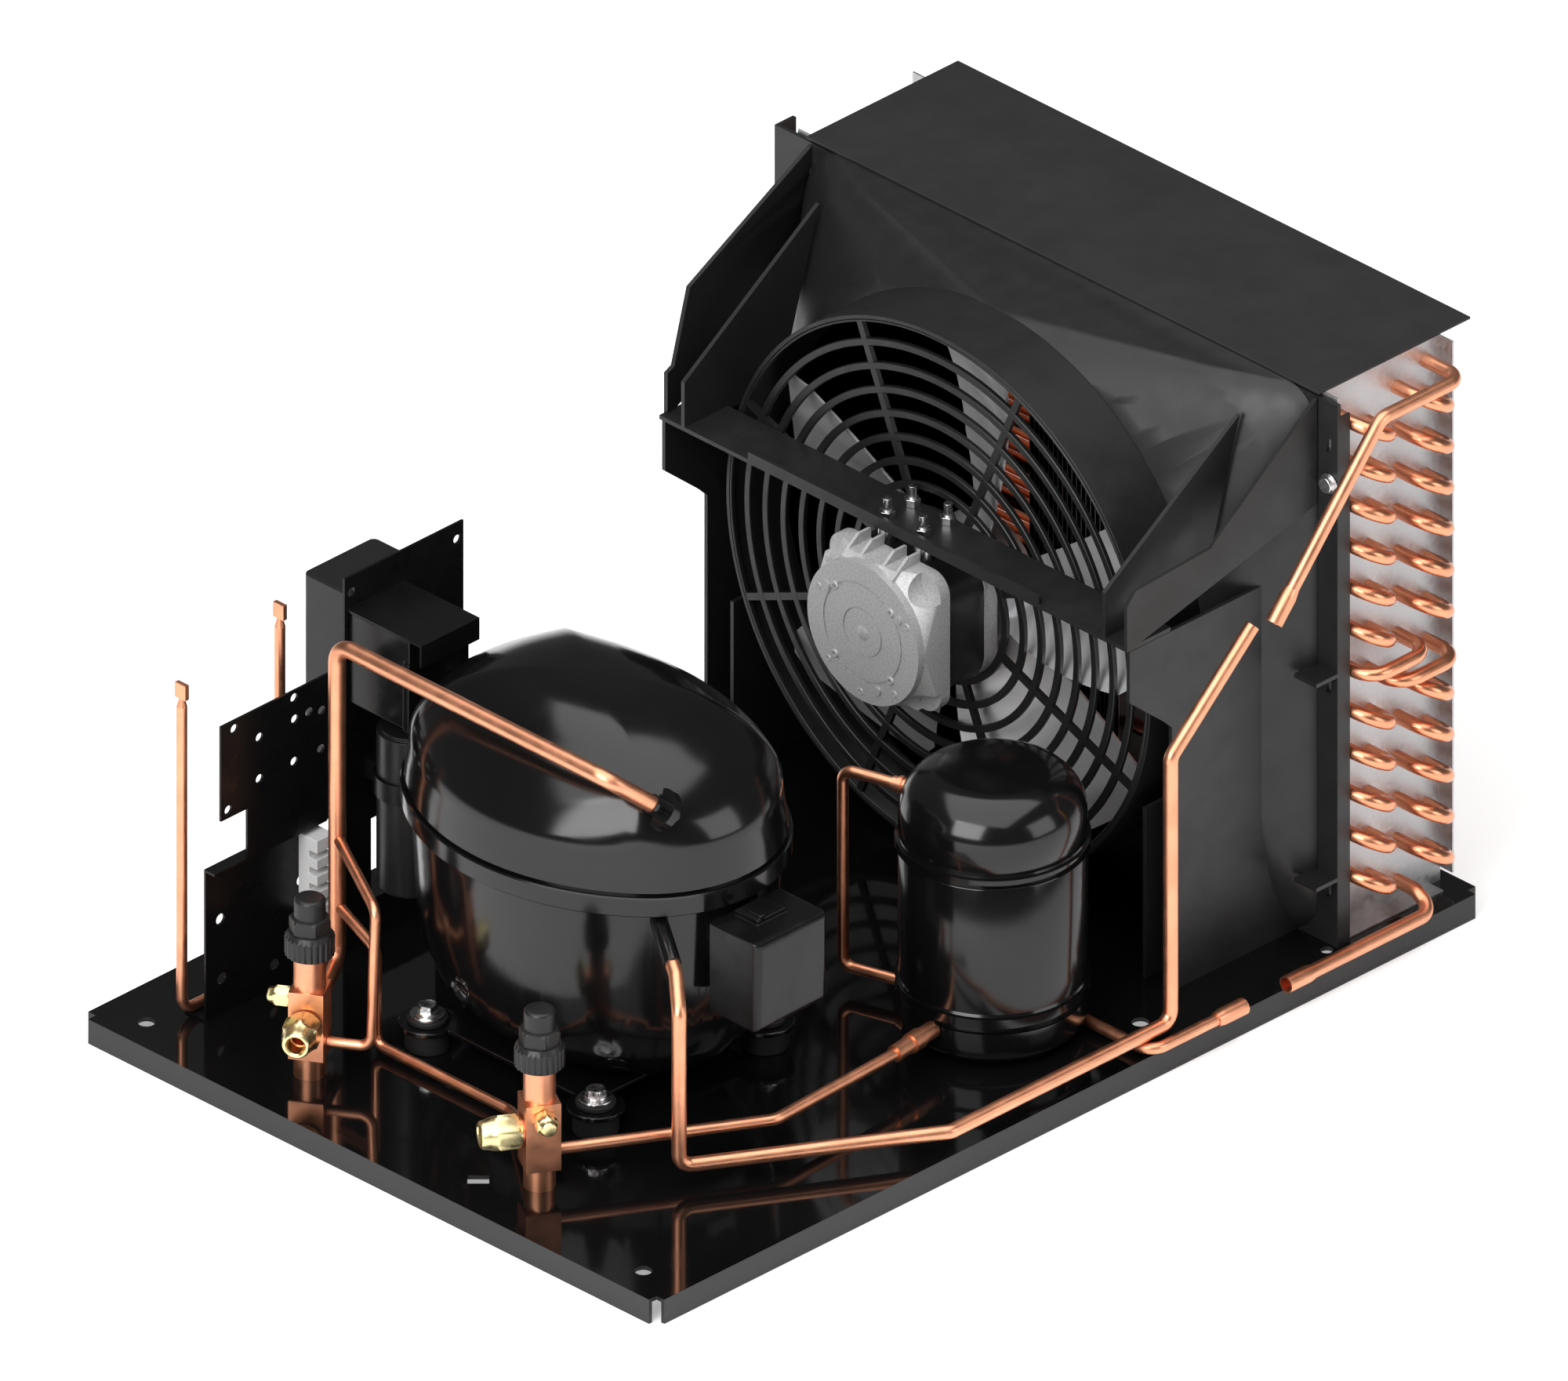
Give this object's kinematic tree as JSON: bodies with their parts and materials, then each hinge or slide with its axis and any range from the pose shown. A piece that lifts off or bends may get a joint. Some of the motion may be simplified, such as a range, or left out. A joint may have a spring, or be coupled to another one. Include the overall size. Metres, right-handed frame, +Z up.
{
  "type": "refrigeration condensing unit",
  "caption": "Air-cooled condensing unit: hermetic compressor, finned coil with guarded fan in a moulded shroud, upright receiver, service valves and copper pipes on a sheet base.",
  "frame": {"origin": "middle of the unit's box at the bottom, on the surface that the base's flanges stand on", "axes": "+X runs from the compressor end to the coil end, along the air stream; +Y runs from the service side with the pipe ends to the far side; +Z is up"},
  "size_m": [0.64, 0.445, 0.3535],
  "materials": {
    "copper": "bright drawn copper",
    "brass": "pale machined brass",
    "black_plastic": "matt black moulding",
    "black_gloss": "gloss black paint",
    "dark_sheet": "satin dark grey paint",
    "zinc_sheet": "galvanised sheet",
    "fins": "dark coated aluminium fins",
    "cast_aluminium": "sand-textured cast aluminium",
    "fan_metal": "brushed aluminium sheet",
    "steel_stack": "dark electrical steel and iron",
    "zinc_hardware": "zinc-plated steel",
    "rubber": "black rubber",
    "grey_plastic": "light grey plastic"
  },
  "bodies": {
    "unit": {"coil_tubes": "copper", "return_bends": "copper", "hairpin_ends": "copper", "gas_inlet_pipe": "copper", "liquid_outlet_pipe": "copper", "receiver_bypass": "copper", "receiver_inlet": "copper", "liquid_line": "copper", "discharge_pipe": "copper", "suction_pipe": "copper", "liquid_valve_body": "copper", "suction_valve_body": "copper", "charging_tubes": "copper", "control_lines": "copper", "fan_shroud": "black_plastic", "shroud_frame": "black_plastic", "shroud_walls": "black_plastic", "fan_guard": "black_plastic", "motor_bracket": "black_plastic", "relay_box": "black_plastic", "capacitor": "black_plastic", "compressor_shell_lower": "black_gloss", "compressor_shell_upper": "black_gloss", "receiver": "black_gloss", "suction_stub": "black_gloss", "discharge_stub": "black_gloss", "compressor_feet": "black_gloss", "base_plate": "black_gloss", "top_panel": "dark_sheet", "control_plate": "dark_sheet", "electrical_bracket": "dark_sheet", "end_plate_service": "zinc_sheet", "end_plate_far": "zinc_sheet", "capacitor_strap": "zinc_sheet", "fin_pack": "fins", "motor_front": "cast_aluminium", "motor_rear": "cast_aluminium", "motor_stator": "steel_stack", "pump_stator": "steel_stack", "pump_block": "steel_stack", "pump_springs": "steel_stack", "motor_studs": "zinc_hardware", "frame_screws": "zinc_hardware", "foot_bolts": "zinc_hardware", "terminal_block": "zinc_hardware", "foot_grommets": "rubber", "control_box": "grey_plastic", "terminal_strip": "grey_plastic"},
    "fan_rotor": {"fan": "fan_metal", "motor_rotor": "steel_stack"},
    "crank": {"pump_crank": "steel_stack"},
    "liquid_cap": {"liquid_valve_cap": "black_plastic"},
    "suction_cap": {"suction_valve_cap": "black_plastic"},
    "liquid_stem": {"liquid_valve_stem": "zinc_hardware"},
    "suction_stem": {"suction_valve_stem": "zinc_hardware"},
    "liquid_nut": {"liquid_flare_nut": "brass"},
    "suction_nut": {"suction_flare_nut": "brass"},
    "liquid_plug": {"liquid_port_plug": "brass"},
    "suction_plug": {"suction_port_plug": "brass"},
    "cover": {"terminal_cover": "black_plastic"}
  },
  "joints": [
    {"name": "fan_spin", "type": "hinge", "parent": "unit", "child": "fan_rotor", "pos_m": [0.138, 0.0035, 0.1875], "axis": [1, 0, 0], "continuous": true},
    {"name": "crank_spin", "type": "hinge", "parent": "unit", "child": "crank", "pos_m": [-0.1475, 0.0035, 0.1], "axis": [0, 0, 1], "continuous": true},
    {"name": "liquid_stem_turn", "type": "hinge", "parent": "unit", "child": "liquid_stem", "pos_m": [-0.2744, -0.0803, 0.08], "axis": [0, 0, 1], "range_deg": [0, 1080]},
    {"name": "suction_stem_turn", "type": "hinge", "parent": "unit", "child": "suction_stem", "pos_m": [-0.277, 0.0909, 0.08], "axis": [0, 0, 1], "range_deg": [0, 1080]},
    {"name": "liquid_cap_lift", "type": "slide", "parent": "unit", "child": "liquid_cap", "axis": [0, 0, 1], "range_m": [0, 0.06]},
    {"name": "suction_cap_lift", "type": "slide", "parent": "unit", "child": "suction_cap", "axis": [0, 0, 1], "range_m": [0, 0.06]},
    {"name": "liquid_nut_off", "type": "slide", "parent": "unit", "child": "liquid_nut", "axis": [-0.8572, 0.515, 0], "range_m": [0, 0.03]},
    {"name": "suction_nut_off", "type": "slide", "parent": "unit", "child": "suction_nut", "axis": [-0.8517, -0.524, 0], "range_m": [0, 0.03]},
    {"name": "liquid_plug_off", "type": "slide", "parent": "unit", "child": "liquid_plug", "axis": [-0.515, -0.8572, 0], "range_m": [0, 0.02]},
    {"name": "suction_plug_off", "type": "slide", "parent": "unit", "child": "suction_plug", "axis": [-0.524, 0.8517, 0], "range_m": [0, 0.02]},
    {"name": "cover_off", "type": "slide", "parent": "unit", "child": "cover", "axis": [0, -1, 0], "range_m": [0, 0.05]}
  ]
}
